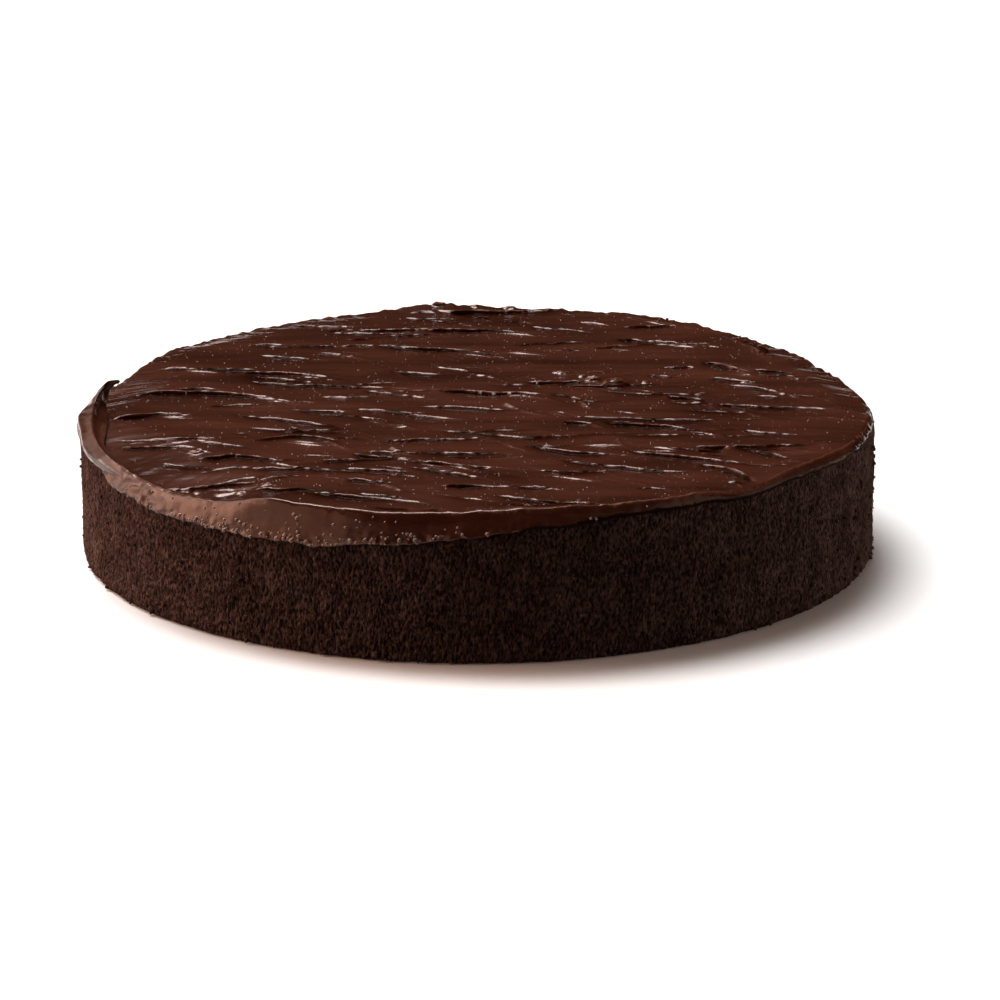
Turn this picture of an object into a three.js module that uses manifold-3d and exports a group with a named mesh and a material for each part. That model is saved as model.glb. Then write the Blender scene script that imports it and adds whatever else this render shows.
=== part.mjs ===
import * as THREE from "three";
import Module from "manifold-3d";

// A round chocolate sponge, as turned out of a 250 mm tin, with chocolate frosting
// spread over its top by knife. The frosting hangs over the front left edge, thins out
// to a narrow lap on the right, and ends in an upright curl on the left rim.
// Millimetres, +Z up, origin at the centre of the base, front towards -Y.
// Angles are in degrees, anticlockwise from +X.

const wasm = await Module();
wasm.setup();

// Sponge
const SPONGE_RADIUS = 125;
const SPONGE_HEIGHT = 44.5;
const FOOT_ROUNDING = 1.4;
const EDGE_ROUNDING = 0.8;
const SHOULDER_WIDTH = 12;
const WALL_STEPS = 3;
const WALL_SWAY = 0.45;

// Frosting
const SEAM_GAP = 0.3;
const RIM_THICKNESS = 2.3;
const TOP_LEVEL = 46.2;
const LAP_LEAST = 0.6;
const LAP_SKIN_THIN = 1.0;
const LAP_SKIN_THICK = 2.2;
const LIP_RIPPLE = 0.5;
const CREST_INSET = 1.2;
const CREST_ROUNDING = 1.1;

// Knife strokes, which run from left to right across the top
const STROKE_PITCH = 16;
const STROKE_DEPTH = 1.3;
const STROKE_RISE = 0.74;
const STROKE_SWAY = 4.5;
const STROKE_CELLS_ACROSS = 30;
const STROKE_CELLS_DEEP = 48;

// Height of the frosting's rim at some angles; between them it changes smoothly
const RIM_HEIGHTS = [
  [-170, 43.6],
  [-140, 40.8],
  [-120, 45.8],
  [-75, 46.8],
  [-38, 47.2],
  [0, 44.4],
  [28, 44.3],
  [62, 46.6],
  [95, 47.2],
  [126, 44.4],
  [158, 42.6],
];

// Height of the frosting's lower lip at some angles
const LIP_HEIGHTS = [
  [-172, 39.4],
  [-152, 36.2],
  [-134, 33.8],
  [-112, 34.6],
  [-96, 37.6],
  [-80, 41.8],
  [-50, 43.4],
  [0, 41.0],
  [60, 43.0],
  [100, 43.2],
  [150, 39.8],
];

// Curl of frosting that the knife pulled up on the left rim
const CURL_START = -161;
const CURL_END = -178.5;
const CURL_RADIUS = 120.5;
const CURL_RISE = 10.4;
const CURL_LEAN = 5.6;
const CURL_ROOT = 1.4;
const CURL_HALF_THICKNESS = 1.1;
const CURL_STEPS = 12;
const CURL_LAYERS = 6;

const sinDeg = (angle) => Math.sin(THREE.MathUtils.degToRad(angle));
const cosDeg = (angle) => Math.cos(THREE.MathUtils.degToRad(angle));

/** Smooth value at an angle, from [angle, value] stations in a closed round. */
function atAngle(stations, angle) {
  const turn = 360;
  const first = stations[0][0];
  const place = THREE.MathUtils.euclideanModulo(angle - first, turn) + first;
  let i = stations.length - 1;
  while (stations[i][0] > place) i -= 1;
  const [fromAngle, fromValue] = stations[i];
  const [nextAngle, toValue] = stations[(i + 1) % stations.length];
  const toAngle = nextAngle > fromAngle ? nextAngle : nextAngle + turn;
  const share = THREE.MathUtils.smoothstep(place, fromAngle, toAngle);
  return THREE.MathUtils.lerp(fromValue, toValue, share);
}

/** Radius of the sponge's slightly uneven wall. */
function wallRadius(angle, z) {
  const slow = sinDeg(3 * angle + 40) + 0.6 * sinDeg(7 * angle - 2 * z);
  const quick = 0.35 * sinDeg(17 * angle + 5 * z);
  return SPONGE_RADIUS + WALL_SWAY * (slow + quick) * 0.5;
}

const rimHeight = (angle) => atAngle(RIM_HEIGHTS, angle);

/** Height of the sponge's top edge, which stays a rim's thickness under the frosting. */
function edgeHeight(angle) {
  return Math.min(SPONGE_HEIGHT, rimHeight(angle) - RIM_THICKNESS);
}

const wallTop = (angle) => edgeHeight(angle) - EDGE_ROUNDING;

/** Height of the sponge's top, which drops over its shoulder to the edge. */
function spongeTop(angle, inset) {
  const drop = SPONGE_HEIGHT - edgeHeight(angle);
  const share = 1 - THREE.MathUtils.smoothstep(inset, EDGE_ROUNDING, SHOULDER_WIDTH);
  return SPONGE_HEIGHT - drop * share;
}

/** Height of the frosting's lower lip, always a little below the sponge's edge. */
function lipHeight(angle) {
  const ripple = LIP_RIPPLE * (sinDeg(19 * angle) + 0.7 * sinDeg(31 * angle + 50));
  return Math.min(atAngle(LIP_HEIGHTS, angle) + ripple, wallTop(angle) - LAP_LEAST);
}

/** Thickness of the frosting on the wall: more where it hangs further down. */
function lapSkin(angle) {
  const hang = wallTop(angle) - lipHeight(angle);
  const share = THREE.MathUtils.smoothstep(hang, 0, 2 * RIM_THICKNESS);
  return THREE.MathUtils.lerp(LAP_SKIN_THIN, LAP_SKIN_THICK, share);
}

/** Height of the knife strokes: each rises gently to the back, then falls steeply. */
function strokeRelief(x, y) {
  const sway = STROKE_SWAY * (Math.sin(x / 41 + y / 33) + 0.4 * Math.sin(x / 17 - y / 52));
  const place = (y + sway) / STROKE_PITCH;
  const row = Math.floor(place);
  const share = place - row;
  const saw = share < STROKE_RISE ? share / STROKE_RISE : (1 - share) / (1 - STROKE_RISE);
  const strength = 0.7 + 0.3 * Math.sin(x / 27 + 2.3 * row);
  return STROKE_DEPTH * saw * strength;
}

/** Height of the frosting's top, which meets the rim along the shoulder. */
function frostingTop(x, y) {
  const angle = THREE.MathUtils.radToDeg(Math.atan2(y, x));
  const inset = SPONGE_RADIUS - Math.hypot(x, y);
  const share = THREE.MathUtils.smoothstep(inset, CREST_INSET, SHOULDER_WIDTH);
  return THREE.MathUtils.lerp(rimHeight(angle), TOP_LEVEL + strokeRelief(x, y), share);
}

/** Turns a place in the square grid of strokes into one on a disc of radius 1. */
function onDisc(column, line) {
  const u = (2 * column) / STROKE_CELLS_ACROSS - 1;
  const v = (2 * line) / STROKE_CELLS_DEEP - 1;
  return [u * Math.sqrt(1 - (v * v) / 2), v * Math.sqrt(1 - (u * u) / 2)];
}

/** The grid's border cells, anticlockwise from its front right corner. */
function gridBorder() {
  const border = [];
  for (let line = 0; line < STROKE_CELLS_DEEP; line++) border.push([STROKE_CELLS_ACROSS, line]);
  for (let column = STROKE_CELLS_ACROSS; column > 0; column--) border.push([column, STROKE_CELLS_DEEP]);
  for (let line = STROKE_CELLS_DEEP; line > 0; line--) border.push([0, line]);
  for (let column = 0; column < STROKE_CELLS_ACROSS; column++) border.push([column, 0]);
  return border;
}

const BORDER = gridBorder();

const BORDER_ANGLES = BORDER.map(([column, line]) => {
  const [x, y] = onDisc(column, line);
  return THREE.MathUtils.radToDeg(Math.atan2(y, x));
});

/** Adds a ring of points round the cake; place(angle) gives each one's [radius, z]. */
function addRing(skin, place) {
  const start = skin.points.length / 3;
  for (const angle of BORDER_ANGLES) {
    const [radius, z] = place(angle);
    skin.points.push(radius * cosDeg(angle), radius * sinDeg(angle), z);
  }
  return start;
}

/** Joins each ring to the next one with a band of triangles. */
function joinRings(skin, rings) {
  const count = BORDER_ANGLES.length;
  for (let k = 0; k + 1 < rings.length; k++) {
    for (let i = 0; i < count; i++) {
      const next = (i + 1) % count;
      skin.triangles.push(rings[k] + i, rings[k] + next, rings[k + 1] + next);
      skin.triangles.push(rings[k] + i, rings[k + 1] + next, rings[k + 1] + i);
    }
  }
}

/** Closes a ring with a fan round the cake's axis. */
function closeRing(skin, ring, z, facesUp) {
  const centre = skin.points.length / 3;
  const count = BORDER_ANGLES.length;
  skin.points.push(0, 0, z);
  for (let i = 0; i < count; i++) {
    const next = (i + 1) % count;
    const pair = facesUp ? [ring + i, ring + next] : [ring + next, ring + i];
    skin.triangles.push(...pair, centre);
  }
}

function toGeometry(points, triangles) {
  const geometry = new THREE.BufferGeometry();
  geometry.setAttribute("position", new THREE.Float32BufferAttribute(points, 3));
  geometry.setIndex(Array.from(triangles));
  geometry.computeVertexNormals();
  return geometry;
}

function toManifold(skin) {
  const vertProperties = new Float32Array(skin.points);
  const triVerts = new Uint32Array(skin.triangles);
  return new wasm.Manifold(new wasm.Mesh({ numProp: 3, vertProperties, triVerts }));
}

/** The rings of the sponge's shoulder, from its edge inwards, lifted by a gap. */
function shoulderRings(skin, lift) {
  const insets = [EDGE_ROUNDING, SHOULDER_WIDTH / 2, SHOULDER_WIDTH];
  return insets.map((inset) =>
    addRing(skin, (angle) => [SPONGE_RADIUS - inset, spongeTop(angle, inset) + lift]),
  );
}

function spongeGeometry() {
  const skin = { points: [], triangles: [] };
  const rings = [addRing(skin, (angle) => [wallRadius(angle, 0) - FOOT_ROUNDING, 0])];
  for (let step = 0; step <= WALL_STEPS; step++) {
    rings.push(
      addRing(skin, (angle) => {
        const z = THREE.MathUtils.lerp(FOOT_ROUNDING, wallTop(angle), step / WALL_STEPS);
        return [wallRadius(angle, z), z];
      }),
    );
  }
  rings.push(...shoulderRings(skin, 0));
  joinRings(skin, rings);
  closeRing(skin, rings[0], 0, false);
  closeRing(skin, rings.at(-1), SPONGE_HEIGHT, true);
  return toGeometry(skin.points, skin.triangles);
}

/** The frosting's lap over the wall: inside to the lip, round it, and up to the crest. */
function lapRings(skin) {
  const inside = (angle, z) => wallRadius(angle, z) + SEAM_GAP;
  return [
    addRing(skin, (angle) => [inside(angle, wallTop(angle)), wallTop(angle) + SEAM_GAP / 2]),
    addRing(skin, (angle) => [inside(angle, lipHeight(angle)), lipHeight(angle)]),
    addRing(skin, (angle) => {
      const z = lipHeight(angle);
      return [inside(angle, z) + lapSkin(angle) / 2, z - SEAM_GAP];
    }),
    addRing(skin, (angle) => {
      const z = lipHeight(angle);
      return [inside(angle, z) + lapSkin(angle), z + LAP_LEAST];
    }),
    addRing(skin, (angle) => {
      const z = rimHeight(angle) - CREST_ROUNDING;
      return [inside(angle, z) + 0.7 * lapSkin(angle), z];
    }),
    addRing(skin, (angle) => [SPONGE_RADIUS - CREST_INSET, rimHeight(angle)]),
  ];
}

/** A ring on the frosting's top at an inset from the wall. */
function topRing(skin, inset) {
  const radius = SPONGE_RADIUS - inset;
  return addRing(skin, (angle) => [radius, frostingTop(radius * cosDeg(angle), radius * sinDeg(angle))]);
}

/** Covers the disc inside a ring with the grid that carries the knife strokes. */
function coverWithStrokes(skin, ring) {
  const radius = SPONGE_RADIUS - SHOULDER_WIDTH;
  const index = new Map(BORDER.map(([column, line], i) => [`${column},${line}`, ring + i]));
  for (let column = 1; column < STROKE_CELLS_ACROSS; column++) {
    for (let line = 1; line < STROKE_CELLS_DEEP; line++) {
      const [x, y] = onDisc(column, line).map((share) => share * radius);
      index.set(`${column},${line}`, skin.points.length / 3);
      skin.points.push(x, y, frostingTop(x, y));
    }
  }
  const at = (column, line) => index.get(`${column},${line}`);
  for (let column = 0; column < STROKE_CELLS_ACROSS; column++) {
    for (let line = 0; line < STROKE_CELLS_DEEP; line++) {
      const near = at(column, line);
      const right = at(column + 1, line);
      const far = at(column + 1, line + 1);
      const left = at(column, line + 1);
      const cutTowardsCentre = column < STROKE_CELLS_ACROSS / 2 === line < STROKE_CELLS_DEEP / 2;
      if (cutTowardsCentre) skin.triangles.push(near, right, far, near, far, left);
      else skin.triangles.push(near, right, left, right, far, left);
    }
  }
}

function frostingSkin() {
  const skin = { points: [], triangles: [] };
  const underside = shoulderRings(skin, SEAM_GAP).reverse();
  const rings = [...underside, ...lapRings(skin)];
  rings.push(topRing(skin, SHOULDER_WIDTH / 2), topRing(skin, SHOULDER_WIDTH));
  joinRings(skin, rings);
  closeRing(skin, rings[0], SPONGE_HEIGHT + SEAM_GAP, false);
  coverWithStrokes(skin, rings.at(-1));
  return skin;
}

/** One upright section of the curl, as a closed loop of points up its outer face and down. */
function curlSection(share) {
  const angle = THREE.MathUtils.lerp(CURL_START, CURL_END, share);
  const foot = rimHeight(angle) - CURL_ROOT;
  const rise = CURL_ROOT + CURL_RISE * share ** 1.5;
  const lean = CURL_LEAN * share ** 1.5;
  const face = (layer, side) => {
    const up = layer / CURL_LAYERS;
    const half = CURL_HALF_THICKNESS * (1 - 0.75 * up);
    const radius = CURL_RADIUS - lean * up * up + side * half;
    return [radius * cosDeg(angle), radius * sinDeg(angle), foot + rise * up];
  };
  const section = [];
  for (let layer = 0; layer <= CURL_LAYERS; layer++) section.push(face(layer, 1));
  for (let layer = CURL_LAYERS; layer >= 0; layer--) section.push(face(layer, -1));
  return section;
}

/** The curl as a closed skin: its sections joined along the rim, with both ends shut. */
function curlSkin() {
  const size = 2 * (CURL_LAYERS + 1);
  const points = [];
  for (let step = 0; step <= CURL_STEPS; step++) points.push(...curlSection(step / CURL_STEPS).flat());
  const triangles = [];
  for (let step = 0; step < CURL_STEPS; step++) {
    for (let i = 0; i < size; i++) {
      const here = step * size + i;
      const next = step * size + ((i + 1) % size);
      triangles.push(here, here + size, next + size, here, next + size, next);
    }
  }
  const last = CURL_STEPS * size;
  for (let i = 0; i < CURL_LAYERS; i++) {
    const across = size - 1 - i;
    triangles.push(i, i + 1, across - 1, i, across - 1, across);
    triangles.push(last + i, last + across - 1, last + i + 1, last + i, last + across, last + across - 1);
  }
  return { points, triangles };
}

function frostingGeometry() {
  const whole = toManifold(frostingSkin()).add(toManifold(curlSkin()));
  const mesh = whole.getMesh();
  return toGeometry(mesh.vertProperties, mesh.triVerts);
}

const spongeMaterial = new THREE.MeshStandardMaterial({ color: 0x35211a, roughness: 0.95, metalness: 0 });
const frostingMaterial = new THREE.MeshStandardMaterial({ color: 0x46271c, roughness: 0.35, metalness: 0 });

const sponge = new THREE.Mesh(spongeGeometry(), spongeMaterial);
sponge.name = "sponge";

const frosting = new THREE.Mesh(frostingGeometry(), frostingMaterial);
frosting.name = "frosting";

const cake = new THREE.Group();
cake.add(sponge, frosting);

export default cake;
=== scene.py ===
"""A round chocolate sponge with knife-spread chocolate frosting, on a pale studio floor.

Shapes are worked out in millimetres and made in metres. Angles round the cake are in
degrees, anticlockwise from +X, and the front is towards -Y.
"""

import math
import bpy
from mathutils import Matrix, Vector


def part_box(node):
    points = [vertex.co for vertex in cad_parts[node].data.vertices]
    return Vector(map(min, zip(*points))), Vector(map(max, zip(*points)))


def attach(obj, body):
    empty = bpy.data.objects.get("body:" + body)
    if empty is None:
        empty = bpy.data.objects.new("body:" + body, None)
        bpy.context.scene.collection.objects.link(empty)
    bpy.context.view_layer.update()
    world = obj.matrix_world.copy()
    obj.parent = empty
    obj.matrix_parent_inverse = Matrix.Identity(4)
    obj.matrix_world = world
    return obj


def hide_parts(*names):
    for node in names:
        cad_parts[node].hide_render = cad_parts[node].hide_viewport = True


bl_info = {
    "name": "Sticky Chocolate Cake",
    "version": (1, 0, 0),
    "blender": (4, 5, 0),
    "location": "3D View > Sidebar > Cake",
    "description": "Makes a round chocolate sponge and spreads chocolate frosting over it by knife",
    "category": "Add Mesh",
}

from functools import lru_cache

import bmesh
import bpy
import numpy as np
from bpy.props import FloatProperty, FloatVectorProperty, IntProperty, PointerProperty
from mathutils import Vector

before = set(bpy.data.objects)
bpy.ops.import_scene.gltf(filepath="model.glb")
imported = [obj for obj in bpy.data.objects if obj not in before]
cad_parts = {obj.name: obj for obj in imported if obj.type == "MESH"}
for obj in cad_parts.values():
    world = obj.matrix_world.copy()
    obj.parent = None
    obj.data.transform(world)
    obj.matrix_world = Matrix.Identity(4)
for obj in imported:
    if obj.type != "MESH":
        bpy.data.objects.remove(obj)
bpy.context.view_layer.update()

MM = 0.001
SPONGE_LOW, SPONGE_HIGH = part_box("sponge")
SPONGE_RADIUS = 125.0
SPONGE_HEIGHT = (SPONGE_HIGH[2] - SPONGE_LOW[2]) / MM

# Shape of the frosting's rim: [angle, height], smooth in between
RIM_HEIGHTS = (
    (-170, 43.6), (-155, 42.4), (-140, 40.6), (-130, 41.6), (-119, 46.0), (-104, 45.6),
    (-82, 47.4), (-60, 46.9), (-50, 45.2), (-38, 47.2), (-14, 45.4), (0, 44.2), (18, 43.7),
    (40, 45.0), (62, 46.7), (80, 45.7), (96, 47.4), (112, 45.3), (128, 44.2), (147, 44.4),
    (160, 42.2),
)

# Lower lip of the frosting: [angle, height]
LIP_HEIGHTS = (
    (-172, 40.0), (-158, 38.6), (-149, 35.6), (-137, 34.0), (-124, 34.2), (-112, 34.2),
    (-103, 36.2), (-92, 38.6), (-82, 41.4), (-70, 43.3), (-45, 44.0), (-15, 42.8), (10, 41.6),
    (40, 43.0), (70, 43.6), (100, 43.6), (140, 41.6), (165, 40.2),
)

# How far the frosting stops short of the wall: [angle, distance], 0 where it laps over
RIM_INSETS = (
    (-175, 0.0), (-80, 0.0), (-60, 0.1), (-30, 0.3), (-12, 1.0), (8, 2.2), (22, 2.6), (36, 1.6),
    (60, 0.9), (120, 1.0), (150, 2.0), (163, 3.0), (174, 1.0),
)

RIM_THICKNESS = 2.3
SHOULDER_WIDTH = 12.0
SHOULDER_WIDEST = 30.0
EDGE_ROUNDING = 0.8
WALL_WAVE = 0.22
SEAM = 0.05
TOP_LEVEL = 46.1
FLAT_RADIUS = 121.0


# ---- Settings ----


def length_setting(name, description, default, least=0.0):
    """A length in millimetres that a user can change."""
    return FloatProperty(
        name=name, description=description, default=default * MM, min=least * MM, unit="LENGTH")


def colour_setting(name, description, *default):
    """A colour that a user can change."""
    return FloatVectorProperty(
        name=name, description=description, default=default, size=3, min=0.0, max=1.0,
        subtype="COLOR")


class SpongeSettings(bpy.types.PropertyGroup):
    """Sizes and colours of the baked sponge"""

    pore_width: length_setting("Pore Width", "Usual width of a pore in the side", 0.85, 0.4)
    pore_height: length_setting("Pore Height", "Usual height of a pore in the side", 2.0, 0.4)
    pore_depth: length_setting("Pore Depth", "How far the pores go into the side", 0.75)
    crumb_colour: colour_setting(
        "Crumb Colour", "Colour of the crumb between the pores", 0.099, 0.056, 0.0465)
    # Painted shade: the pores are coloured far darker than the crumb, standing in for the shade
    # inside them
    pore_shade_colour: colour_setting(
        "Pore Colour", "Colour of the crumb inside the pores", 0.011, 0.005, 0.004)


class FrostingSettings(bpy.types.PropertyGroup):
    """Sizes and colours of the frosting"""

    stroke_depth: length_setting(
        "Stroke Depth", "Rise of the frosting across one knife stroke", 1.15)
    ridge_height: length_setting(
        "Ridge Height", "Height of the thin ridge along a stroke's far edge", 0.55)
    lap_thickness: length_setting(
        "Lap Thickness", "Thickness of the frosting that hangs over the side", 1.9, 0.2)
    triangles: IntProperty(
        name="Triangles", description="Most triangles in the frosting's mesh",
        default=188000, min=20000, max=195000)
    colour: colour_setting("Colour", "Colour of thick frosting", 0.031, 0.0072, 0.003)
    thin_colour: colour_setting(
        "Thin Colour", "Colour of thin ridges, where light comes through", 0.062, 0.0155, 0.0063)
    pale_colour: colour_setting(
        "Pale Colour", "Colour of wet beads along the lap's lower lip", 0.42, 0.29, 0.23)
    roughness: FloatProperty(
        name="Roughness", description="Roughness of the frosting's skin",
        default=0.205, min=0.0, max=1.0, subtype="FACTOR")


class DetailSettings(bpy.types.PropertyGroup):
    """Bubbles in the frosting and loose crumbs"""

    bubbles: IntProperty(
        name="Bubbles", description="Number of small bubbles in the frosting",
        default=2200, min=0, max=4000)
    bubble_radius: length_setting("Bubble Radius", "Usual radius of a bubble", 0.34, 0.05)
    crumbs: IntProperty(
        name="Crumbs", description="Number of loose crumbs on the side and rim",
        default=460, min=0, max=2000)
    crumb_radius: length_setting("Crumb Radius", "Usual radius of a loose crumb", 0.42, 0.1)


class StageSettings(bpy.types.PropertyGroup):
    """Floor, light and camera"""

    floor_size: length_setting("Floor Size", "Width of the square floor", 12000.0, 1000.0)
    floor_colour: colour_setting("Floor Colour", "Colour of the floor", 0.9, 0.9, 0.9)
    main_light: FloatProperty(
        name="Main Light", description="Brightness of the wide soft light above and behind",
        default=16.5, min=0.0)
    left_light: FloatProperty(
        name="Left Light", description="Power of the soft light on the left",
        default=7.4, min=0.0, subtype="POWER")
    right_light: FloatProperty(
        name="Right Light", description="Power of the soft light on the right",
        default=2.6, min=0.0, subtype="POWER")


# ---- Numbers: smooth steps, values at angles, noise ----

# Primes that mix up the noise's cells, and how many of its vectors are in use
CELL_PRIMES = (73856093, 19349663, 83492791)
SEED_PRIME = 40503
VECTORS = 251


def smooth(low, high, value):
    """Smooth step from 0 at low to 1 at high."""
    share = np.clip((value - low) / (high - low), 0.0, 1.0)
    return share * share * (3.0 - 2.0 * share)


def lerp(start, end, share):
    return start + (end - start) * share


def at_angle(stations, angle):
    """Smooth value at each angle, from (angle, value) stations in a closed round."""
    angles, values = np.array(stations, dtype=float).T
    place = (np.asarray(angle, dtype=float) - angles[0]) % 360.0
    knots = np.append(angles - angles[0], 360.0)
    knot = np.clip(np.searchsorted(knots, place, side="right") - 1, 0, len(angles) - 1)
    share = smooth(0.0, 1.0, (place - knots[knot]) / (knots[knot + 1] - knots[knot]))
    return lerp(values[knot], values[(knot + 1) % len(values)], share)


@lru_cache(maxsize=None)
def gradients():
    """Unit vectors, evenly mixed, for the noise."""
    rng = np.random.default_rng(11)
    vectors = rng.normal(size=(256, 3))
    return vectors / np.linalg.norm(vectors, axis=1, keepdims=True)


def noise(x, y, z=0.0, seed=0):
    """Smooth noise between about -1 and 1; x, y and z count its lumps."""
    x, y, z = np.broadcast_arrays(*(np.asarray(part, dtype=float) for part in (x, y, z)))
    points = np.stack([x, y, z], axis=-1)
    cell = np.floor(points).astype(np.int64)
    part = points - cell
    fade = part ** 3 * (part * (part * 6.0 - 15.0) + 10.0)
    total = np.zeros(x.shape)
    table = gradients()
    for corner in np.ndindex(2, 2, 2):
        key = np.bitwise_xor.reduce((cell + np.array(corner)) * CELL_PRIMES, axis=-1)
        gradient = table[(key ^ seed * SEED_PRIME) % VECTORS]
        weight = np.prod(np.where(corner, fade, 1.0 - fade), axis=-1)
        total += weight * ((part - corner) * gradient).sum(axis=-1)
    return total * 1.7


def ripple(place, seed):
    """Smooth noise along one line, between -1 and 1; place counts its lumps."""
    place = place + seed * 7.31
    cell = np.floor(place).astype(np.int64)
    heights = gradients()[:VECTORS, seed % 3]
    before = heights[(cell * 73 + seed * 29) % VECTORS]
    after = heights[((cell + 1) * 73 + seed * 29) % VECTORS]
    return lerp(before, after, smooth(0.0, 1.0, place - cell))


def ripples(place, seed, *waves):
    """Sum of ripples, one for each (height, length)."""
    return sum(high * ripple(place / long, seed + step) for step, (high, long) in enumerate(waves))


def place_at(angle, radius=SPONGE_RADIUS):
    """Places (x, y) at each angle and radius."""
    turn = np.radians(angle)
    return radius * np.cos(turn), radius * np.sin(turn)


def points_at(angle, radius, z):
    """Points (x, y, z) at each angle, radius and height."""
    x, y = place_at(angle, radius)
    return np.stack([x, y, np.broadcast_to(z, x.shape)], axis=-1)


def angle_and_inset(x, y):
    """Angle of each place, and how far in from the wall it lies."""
    return np.degrees(np.arctan2(y, x)), SPONGE_RADIUS - np.hypot(x, y)


# ---- Shape of the sponge and of the frosting's rim, shared by the pieces ----


def wall_radius(angle, z):
    """Radius of the sponge's slightly uneven wall, without its pores."""
    turn = np.radians(angle)
    waves = np.sin(3 * turn + 0.7) + 0.6 * np.sin(7 * turn - 0.035 * z)
    return SPONGE_RADIUS + WALL_WAVE * waves


def rim_height(angle):
    return at_angle(RIM_HEIGHTS, angle)


def edge_height(angle):
    """Height of the sponge's top edge, a rim's thickness under the frosting."""
    return np.minimum(SPONGE_HEIGHT, rim_height(angle) - RIM_THICKNESS)


def shoulder_width(angle):
    """Width of the slope down to the rim: wider where the rim hangs low."""
    return lerp(SHOULDER_WIDTH, SHOULDER_WIDEST, smooth(1.5, 5.0, TOP_LEVEL - rim_height(angle)))


def lip_height(angle):
    """Height of the ragged lower lip of the frosting that laps over the side."""
    x, y = place_at(angle)
    ragged = 0.55 * noise(x / 7.0, y / 7.0, 2.0) + 0.3 * noise(x / 3.2, y / 3.2, 9.0)
    return np.minimum(at_angle(LIP_HEIGHTS, angle) + ragged, edge_height(angle) - 0.5)


def slope_share(foot, angle, inset):
    """How far up the shoulder's slope each point is: nearly straight, with rounded ends."""
    share = np.clip((inset - foot) / (shoulder_width(angle) - foot), 0.0, 1.0)
    return 0.6 * share + 0.4 * smooth(0.0, 1.0, share)


def sponge_top(angle, inset):
    """Height of the sponge's top, which drops over its shoulder to the edge."""
    drop = SPONGE_HEIGHT - edge_height(angle)
    return SPONGE_HEIGHT - drop * (1.0 - slope_share(EDGE_ROUNDING, angle, inset))


# ---- The frosting's top, spread stroke by stroke ----

FIELD_HALF = 128.0
FIELD_STEP = 0.32

# Main knife strokes, far ones first: far edge from (x, y) to (x, y), bow to the back,
# width towards the front, ridge as a share of the usual one
MAIN_STROKES = (
    ((52, 114), (84, 88), 4, 12, 1.2),
    ((-20, 95), (26, 83), 2, 12, 1.0),
    ((84, 80), (94, 56), 4, 9, 1.0),
    ((44, 78), (74, 69), 2, 11, 0.9),
    ((-80, 71), (-34, 59), 3, 14, 1.0),
    ((-36, 72), (20, 55), 3, 13, 1.1),
    ((-14, 45), (8, 30), 2, 8, 0.8),
    ((70, 50), (90, 35), 2, 10, 0.9),
    ((-100, 41), (-40, 30), 3, 15, 1.0),
    ((88, 40), (106, 30), 2, 9, 0.9),
    ((14, 27), (39, 25), 1, 9, 1.3),
    ((74, 31), (90, 25), 1, 8, 0.8),
    ((78, 22), (102, 9), 2, 10, 1.1),
    ((-112, 9), (-54, 3), 7, 15, 1.0),
    ((-14, 17), (26, 9), 1, 9, 1.1),
    ((22, 13), (38, -7), 2, 7, 1.0),
    ((60, 9), (74, -3), 2, 8, 1.2),
    ((74, -2), (88, -16), 1, 9, 0.9),
    ((-114, -17), (-88, -13), 1, 12, 1.0),
    ((-40, -17), (-20, -28), 1, 10, 0.9),
    ((26, -22), (38, -25), 1, 8, 1.1),
    ((36, -22), (78, -38), 2, 12, 0.9),
    ((-112, -37), (-78, -38), -4, 11, 0.9),
    ((-70, -44), (-38, -50), 11, 12, 1.1),
    ((-8, -33), (14, -49), 2, 9, 1.0),
    ((8, -51), (46, -47), 0, 11, 1.2),
    ((76, -50), (98, -71), 3, 12, 1.0),
    ((-38, -57), (-20, -63), 0, 9, 1.0),
    ((-86, -60), (-50, -70), 3, 12, 1.0),
    ((-98, -80), (-58, -86), 2, 10, 1.2),
    ((-22, -67), (0, -76), 1, 9, 1.0),
    ((-6, -72), (40, -86), 1, 11, 1.1),
    ((64, -71), (80, -97), 6, 11, 0.9),
    ((-40, -84), (-22, -92), 1, 10, 0.9),
    ((-12, -94), (30, -95), 1, 11, 0.9),
    ((0, -110), (38, -110), 1, 9, 0.8),
)

# Tips that the knife pulled up: foot of the tip, end of its tail, height
TIPS = (
    ((9, -3), (25, -19), 1.5),
    ((-26, -54), (-12, -66), 1.5),
    ((43, -44), (48, -55), 1.1),
    ((37, -72), (44, -87), 1.2),
    ((-26, 37), (-19, 28), 0.9),
    ((72, 10), (62, 4), 1.0),
)

# Bundles of fine ridges that spread apart: start, end, half their spread
FANS = (
    ((44, 113), (72, 93), 3.5),
    ((84, 80), (93, 60), 3.0),
    ((24, 12), (36, -6), 2.6),
    ((74, -2), (86, -15), 2.4),
    ((-38, -18), (-24, -28), 2.6),
    ((-6, -35), (11, -48), 3.0),
    ((-62, -43), (-40, -52), 3.4),
    ((-22, -68), (-3, -78), 3.0),
    ((-68, -97), (-55, -88), 3.5),
    ((-100, 41), (-78, 37), 2.4),
    ((50, -50), (66, -57), 2.6),
    ((6, 64), (30, 56), 2.4),
)

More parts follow.
